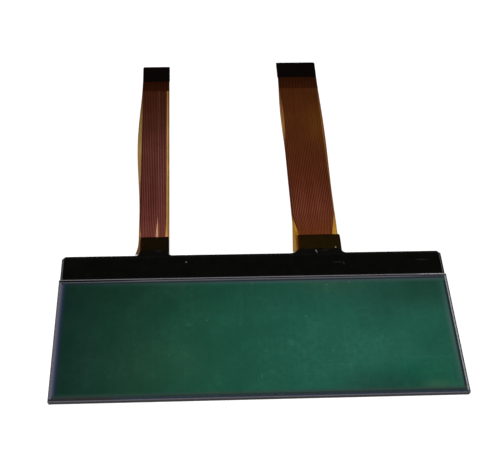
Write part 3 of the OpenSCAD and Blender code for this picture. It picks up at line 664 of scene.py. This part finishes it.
# acetate tape over each root: satin dark olive, redder along its left and far borders and blacker
# along its right border, which reach so many millimetres inward: the red left border is painted
# light and the black right one painted shade; a fleck has a middle, half width, half depth and
# colour, and the right tape's fleck is a painted glint
tapes = {
    "weave": 0.9, "tones": (0.8, 1.2), "relief": 0.02, "reach": {"left": 0.9, "right": 0.7, "far": 0.5},
    "left": {"field": "#110B02", "left": "#240803", "right": "#060301", "far": "#240A03", "dustAndPaintedGlints": []},
    "right": {"field": "#1A1102", "left": "#3A1405", "right": "#080401", "far": "#200A02",
              "dustAndPaintedGlints": [(23.2, 28.8, 0.27, 0.27, "#968E86")]},
}


def tapeFilm(side):
    own = tapes[side]
    material, tree = startMaterial(side + " acetate tape")
    place = placeInMillimetres(tree)
    x, y = addNode(tree, "SeparateXYZ", {0: place}).outputs[:2]
    weave, colour = mottled(tree, place, own["field"], tapes["weave"], tapes["tones"])
    edges = fromEdges(x, y, tails[side]["tape"])
    # borders: painted light on the left, painted shade on the right
    for name, reach in tapes["reach"].items():
        across, edge, inward = edges[name]
        border = addNode(tree, "MapRange", {0: across, 1: edge, 2: edge + reach * inward, 3: 1.0, 4: 0.0},
                         interpolation_type="SMOOTHSTEP")
        colour = addNode(tree, "Mix", {0: border, 6: colour, 7: linear(own[name])},
                         data_type="RGBA").outputs[2]
    bump = addNode(tree, "Bump", {"Height": weave, "Distance": tapes["relief"] * mm, "Strength": 0.5})
    # flecks: on the right tape a painted glint
    setSurface(tree, {"Base Color": addMarks(tree, place, colour, own["dustAndPaintedGlints"], 0.3, "MIX"),
                      "Roughness": 0.34, "Specular IOR Level": 0.04, "Normal": bump})
    return material


def paint(nodeName, material):
    frame["nodes"][nodeName].material_slots[0].material = material


for nodeNames, *stuff in plainPieces:
    plainMaterial = plainStuff(*stuff)
    for nodeName in nodeNames:
        paint(nodeName, plainMaterial)
paint("front_polarizer", polarizerFilm())
for side in sides:
    paint(side + "_base_film", amberFilm(side))
    paint(side + "_traces", copperFoil(side))
    paint(side + "_coverlay", coverFilm(side))
    paint(side + "_root_tape", tapeFilm(side))
    paint(side + "_tip_film", pressedFilm(side, " brown reinforcing film", tailTones[side]["band"],
                                          pressed["filmRough"], pressed["filmRidges"]))
    paint(side + "_tip_stiffener", pressedFilm(side, " black stiffener", pressed["stiffener"],
                                               pressed["stiffenerRough"], pressed["stiffenerRidges"]))
print("display module: films and copper have their materials")


# copies of solids: how near doubled vertices lie, to how many degrees faces count as flat, how far
# the amber skins are lifted, and how level a face of the broad sides is
copies = {"doubled": 0.0005, "flat": 0.5, "slopeFlat": 0.02, "lift": 0.004, "level": 0.99}


def copyOf(nodeName, flat):
    # a copy of a solid, its doubled vertices merged and its flat faces joined
    node = frame["nodes"][nodeName]
    mesh = bmesh.new()
    mesh.from_mesh(node.data)
    mesh.transform(node.matrix_world)
    bmesh.ops.remove_doubles(mesh, verts=mesh.verts[:], dist=copies["doubled"] * mm)
    bmesh.ops.dissolve_limit(mesh, angle_limit=math.radians(flat), verts=mesh.verts[:], edges=mesh.edges[:])
    bmesh.ops.recalc_face_normals(mesh, faces=mesh.faces[:])
    return mesh


def addObject(name, data):
    made = bpy.data.objects.new(name, data)
    bpy.context.scene.collection.objects.link(made)
    return made


def objectOf(mesh, name, materials):
    data = bpy.data.meshes.new(name)
    mesh.to_mesh(data)
    mesh.free()
    for material in materials:
        data.materials.append(material)
    return addObject(name, data)


def standFor(mesh, pieceName, nodeName, materials):
    # makes a piece of a mesh, and shows it in place of a node
    piece = objectOf(mesh, pieceName, materials)
    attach(piece, "root")
    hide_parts(nodeName)
    return piece


# both glasses: the broad faces polished, the edges and their seams ground
for nodeName, side in (("front_glass", "front"), ("rear_glass", "rear")):
    # the clear faces, with the tint's painted shade
    polished = polishedGlass(side + " float glass", glassTints[nodeName])
    border = borderGlass(nodeName)
    ground = groundGlass(nodeName, "ground " + side + " glass edge")
    paint(nodeName, polished)
    plate = copyOf(nodeName, copies["flat"])
    for face in plate.faces:
        broad = 0 if face.normal.z > 0 else 1
        face.material_index = broad if abs(face.normal.z) > copies["level"] else 2
    standFor(plate, "stoned_" + nodeName, nodeName, (border, polished, ground))

# both base films: the lower skin is lifted clear of the copper it lies on; they keep every station
# of their slope, or the copper would come through the skin between two of them
for side in sides:
    sheet = copyOf(side + "_base_film", copies["slopeFlat"])
    for corner in sheet.verts:
        if corner.normal.z < 0:
            corner.co.z += copies["lift"] * mm
    standFor(sheet, side + "_amber_sheet", side + "_base_film", (amberFilm(side),))
print("display module: glasses and amber sheets are shaped")


# poured resin on the ledge, in millimetres: it flows over the dies and the heads of the tails,
# climbs the wall of the front glass and ends in a thin wavy front on each tail
resin = {
    "columns": 460, "rows": 36, "crowding": 0.9,  # columns stand closer at both ends by this share
    "sideRim": 0.35, "farRim": 0.08, "thickness": 0.47, "shoulder": 0.45,
    "cut": 0.9, "cutZone": 3,  # the far corners are cut off, and how far from the ends it may begin
    "swell": 0.11, "swellSoft": 1.0,  # over the dies
    "headBump": 0.06, "headAcross": (-0.2, 0.5), "headAlong": (-0.5, 0.2),  # over the tails' heads
    "wave": 0.14, "waves": 2.5, "leftShare": 0.7, "rightShare": 0.4,  # of the fronts on the tails
    "left": {"climb": 1.75, "fillet": 1.1}, "right": {"climb": 1.45, "fillet": 2.5},
    "front": 0.045, "thinFrom": -0.7, "thinPast": 0.1,
    "meniscus": 0.14, "meniscusReach": 0.35,  # up the glass
    "uneven": 0.025, "unevenSize": (5, 2.5), "unevenLayer": 0.3,
    "onFilm": 0.35, "intoFilm": 0.01, "offGlass": 0.003,  # where the underside lies
    # its look: colour on the ledge and where it is thin, and sheen and roughness on the ledge and on
    # the tails, which change between two distances from the far edge
    "code": "#050504", "thinCode": "#060302", "thinZone": (-0.2, 0.6), "grain": 2.5, "tones": (0.7, 1.3),
    "glossZone": (-1.7, -0.4), "gloss": (0.3, 0.03), "rough": (0.14, 0.5), "relief": 0.03,
    # middle, half width and half depth of each fleck and its colour: a dust speck, an S-shaped painted
    # glint in two parts, a faint L-shaped painted glint in two parts, an olive tint, a faint light
    # streak and a soft painted sheen
    "dustAndPaintedGlints": [(-18.4, 24.2, 0.34, 0.28, "#6C6C6A"), (17.6, 27.6, 0.22, 0.4, "#8A8884"),
               (17.8, 27.0, 0.2, 0.45, "#6A6865"), (23.2, 23.35, 2.2, 0.3, "#18191A"),
               (24.85, 22.8, 0.3, 0.7, "#222425"), (20.1, 27.7, 1.5, 0.4, "#141B08"),
               (46.6, 23.7, 2.6, 0.3, "#181919"), (-26.2, 28.4, 1.2, 0.35, "#15181B")],
}


def eased(value, low, high):
    # soft step from 0 to 1 between two values
    share = min(max((value - low) / (high - low), 0), 1)
    return share * share * (3 - 2 * share)


def resinFront(x):
    # how far past the ledge the resin reaches at x
    reach = 0
    for side in sides:
        own, (low, high) = resin[side], tails[side]["tape"]
        start = low.x - resin["leftShare"] * own["fillet"]
        end = high.x + resin["rightShare"] * own["fillet"]
        if start < x < end:
            wave = resin["wave"] * math.sin(2 * math.pi * resin["waves"] * (x - start) / (end - start))
            rise = eased(x, start, start + own["fillet"]) * eased(-x, -end, own["fillet"] - end)
            reach = max(reach, rise * (own["climb"] + wave) + resin["farRim"])
    return reach


def surfaceUnder(x, y):
    # height of the tape, of the film or of the ledge at a place
    for tail in tails.values():
        low, high = tail["tape"]
        if low.x < x < high.x and y > low.y:
            return high.z
        if abs(x - tail["x"]) < tail["width"] / 2 and y > tail["headY"]:
            return tail["filmTop"]
    return ledgeHigh.z


def resinTop(x, y):
    # height of the resin away from its borders
    bump = 0
    for tail in tails.values():
        low, high = tail["chip"]
        away = math.hypot(max(low.x - x, x - high.x, 0), max(low.y - y, y - high.y, 0))
        bump = max(bump, resin["swell"] * (1 - eased(away, 0, resin["swellSoft"])))
        across = abs(x - tail["x"]) - tail["width"] / 2
        over = (1 - eased(across, *resin["headAcross"])) * eased(y - tail["headY"], *resin["headAlong"])
        bump = max(bump, resin["headBump"] * over)
    height = ledgeHigh.z + resin["thickness"] + bump
    height += resin["meniscus"] * math.exp(-(y - stepY) / resin["meniscusReach"])
    wide, deep = resin["unevenSize"]
    height += resin["uneven"] * noise.noise(Vector((x / wide, y / deep, resin["unevenLayer"])))
    # past the ledge it thins towards its front
    climb = resin["left" if x < 0 else "right"]["climb"]
    past = eased(y - edgeY, resin["thinFrom"], climb + resin["thinPast"])
    return height * (1 - past) + (surfaceUnder(x, edgeY + 0.5) + resin["front"]) * past


def resinShoulder(away):
    # rounded rise from the resin's border to its full height
    share = min(max(away / resin["shoulder"], 0), 1)
    return math.sqrt(1 - (1 - share) ** 2)


def blackResin():
    # poured epoxy, glossy and nearly black, satin and browner at its thin front; a fleck of dust,
    # painted glints and a painted sheen lie on it
    material, tree = startMaterial("glossy black resin")
    place = placeInMillimetres(tree)
    y = addNode(tree, "SeparateXYZ", {0: place}).outputs[1]
    fine, colour = mottled(tree, place, resin["code"], resin["grain"], resin["tones"])
    start, end = resin["thinZone"]
    thin = addNode(tree, "MapRange", {0: y, 1: edgeY + start, 2: edgeY + end})
    colour = addNode(tree, "Mix", {0: thin, 6: colour, 7: linear(resin["thinCode"])},
                     data_type="RGBA").outputs[2]
    bump = addNode(tree, "Bump", {"Height": fine, "Distance": resin["relief"] * mm, "Strength": 0.6})
    # a dust fleck, painted glints and a painted sheen over the colour
    surface = {"Base Color": addMarks(tree, place, colour, resin["dustAndPaintedGlints"], 0.3, "MIX"),
               "Normal": bump}
    start, end = resin["glossZone"]
    for name, (onLedge, onTail) in (("Specular IOR Level", resin["gloss"]), ("Roughness", resin["rough"])):
        surface[name] = addNode(tree, "MapRange", {0: y, 1: edgeY + start, 2: edgeY + end, 3: onLedge,
                                                   4: onTail})
    setSurface(tree, surface)
    return material


def pourResin():
    # the upper skin: its first row stands at the foot of the glass's wall, and the next one above it
    mesh = bmesh.new()
    rows = resin["rows"]
    bmesh.ops.create_grid(mesh, x_segments=resin["columns"], y_segments=rows, size=0.5)
    half = ledgeHigh.x - resin["sideRim"]
    rim = edgeY - resin["farRim"]
    for corner in mesh.verts:
        a, t = corner.co.x + 0.5, corner.co.y + 0.5
        a = a - resin["crowding"] * math.sin(2 * math.pi * a) / (2 * math.pi)
        atFoot = t < 0.5 / rows
        t = max(t - 1 / rows, 0) / (1 - 1 / rows)
        t = 0.5 - 0.5 * math.cos(math.pi * t)  # closer rows at the glass and at the far edge
        x = (2 * a - 1) * half
        far = rim + resinFront(x)
        y = stepY + t * (far - stepY)
        cut = max(y - (rim - resin["cut"]), 0) if abs(x) > half - resin["cutZone"] else 0
        limit = half - min(cut, resin["cut"])
        x = x * limit / half
        far = rim + resinFront(x)
        under = surfaceUnder(x, y) if y > edgeY else ledgeHigh.z
        rise = 0 if atFoot else resinShoulder(limit - abs(x)) * resinShoulder(far - y)
        corner.co = Vector((x, y, under + rise * (resinTop(x, y) - under))) * mm
    return mesh


def closeResin(mesh):
    # the lower skin: a copy of the upper one, laid on the ledge and a little way into the films
    skin = bmesh.ops.duplicate(mesh, geom=mesh.verts[:] + mesh.edges[:] + mesh.faces[:])["geom"]
    for corner in [item for item in skin if isinstance(item, bmesh.types.BMVert)]:
        x, y = corner.co.x / mm, corner.co.y / mm
        onFilm = y > edgeY - resin["onFilm"]
        if not corner.is_boundary:
            level = surfaceUnder(x, y) - resin["intoFilm"] if onFilm else ledgeHigh.z + resin["offGlass"]
            corner.co.z = level * mm
    bmesh.ops.remove_doubles(mesh, verts=mesh.verts[:], dist=copies["doubled"] * mm)
    bmesh.ops.recalc_face_normals(mesh, faces=mesh.faces[:])
    for face in mesh.faces:
        face.smooth = True


resinMesh = pourResin()
closeResin(resinMesh)
print("display module: resin has", len(resinMesh.faces), "faces")
pouredResin = standFor(resinMesh, "poured_resin", "ledge_coating", (blackResin(),))


# stage: a pale floor, a light sky that is darker overhead, and one large lamp
studio = {"floorSize": 6.0, "floor": "#D2D2D2", "lift": 0.47, "overhead": 0.045, "horizon": 1.0,
          "skyTurn": (0.2, 0.58), "lamp": 10.5, "lampSize": 0.7, "lampAt": (-0.12, -0.34, 0.92),
          "lampAim": (0, 0.02, 0)}


def layFloor():
    # matt, and lifted to white where the camera, a gloss or a glass looks at it
    material, tree = startMaterial("pale floor")
    matte = addNode(tree, "BsdfDiffuse", {"Color": linear(studio["floor"])})
    seen = addNode(tree, "LightPath").outputs
    direct = seen["Is Camera Ray"]
    for name in ("Is Glossy Ray", "Is Transmission Ray"):
        direct = addNode(tree, "Math", {0: direct, 1: seen[name]}, operation="MAXIMUM")
    strength = addNode(tree, "Math", {0: direct, 1: studio["lift"]}, operation="MULTIPLY")
    lift = addNode(tree, "Emission", {"Color": (1, 1, 1, 1), "Strength": strength})
    both = addNode(tree, "AddShader", {0: matte, 1: lift})
    addNode(tree, "OutputMaterial", {0: both})
    mesh = bmesh.new()
    bmesh.ops.create_grid(mesh, x_segments=1, y_segments=1, size=studio["floorSize"] / 2)
    floor = objectOf(mesh, "floor", (material,))


def lightSky():
    world = bpy.data.worlds.new("studio sky")
    bpy.context.scene.world = world
    tree = freshTree(world)
    coordinates = addNode(tree, "TexCoord")
    axes = addNode(tree, "SeparateXYZ", {0: coordinates.outputs["Generated"]})
    height = addNode(tree, "MapRange", {0: axes.outputs[2], 1: studio["skyTurn"][0], 2: studio["skyTurn"][1],
                                        3: studio["horizon"], 4: studio["overhead"]},
                     interpolation_type="SMOOTHSTEP")
    sky = addNode(tree, "Background", {"Color": (1, 1, 1, 1), "Strength": height})
    addNode(tree, "OutputWorld", {0: sky})


def hangLamp():
    data = bpy.data.lights.new("large soft lamp", "AREA")
    data.shape = "DISK"
    data.size = studio["lampSize"]
    data.energy = studio["lamp"]
    lamp = addObject("large soft lamp", data)
    lamp.location = studio["lampAt"]
    lamp.rotation_euler = (Vector(studio["lampAim"]) - lamp.location).to_track_quat("-Z", "Y").to_euler()


layFloor()
lightSky()
hangLamp()
bpy.context.scene.view_settings.view_transform = "Standard"

# camera of the photograph, fitted to the edges of the panel
camera = {"aim": (-0.00047, 0.0335, 0), "distance": 0.28159, "azimuth": -4.332, "elevation": 50.587,
          "roll": -2.406, "focal": 72, "sensor": 36, "clipStart": 0.01}


def setCamera():
    data = bpy.data.cameras.new("camera")
    data.lens = camera["focal"]
    data.sensor_width = camera["sensor"]
    data.clip_start = camera["clipStart"]
    body = addObject("camera", data)
    azimuth, elevation = math.radians(camera["azimuth"]), math.radians(camera["elevation"])
    back = Vector((math.sin(azimuth) * math.cos(elevation), -math.cos(azimuth) * math.cos(elevation),
                   math.sin(elevation)))
    body.location = Vector(camera["aim"]) + back * camera["distance"]
    roll = Quaternion((0, 0, 1), -math.radians(camera["roll"]))
    body.rotation_mode = "QUATERNION"
    body.rotation_quaternion = (-back).to_track_quat("-Z", "Y") @ roll
    bpy.context.scene.camera = body


setCamera()
print("display module: floor, light and camera are set")
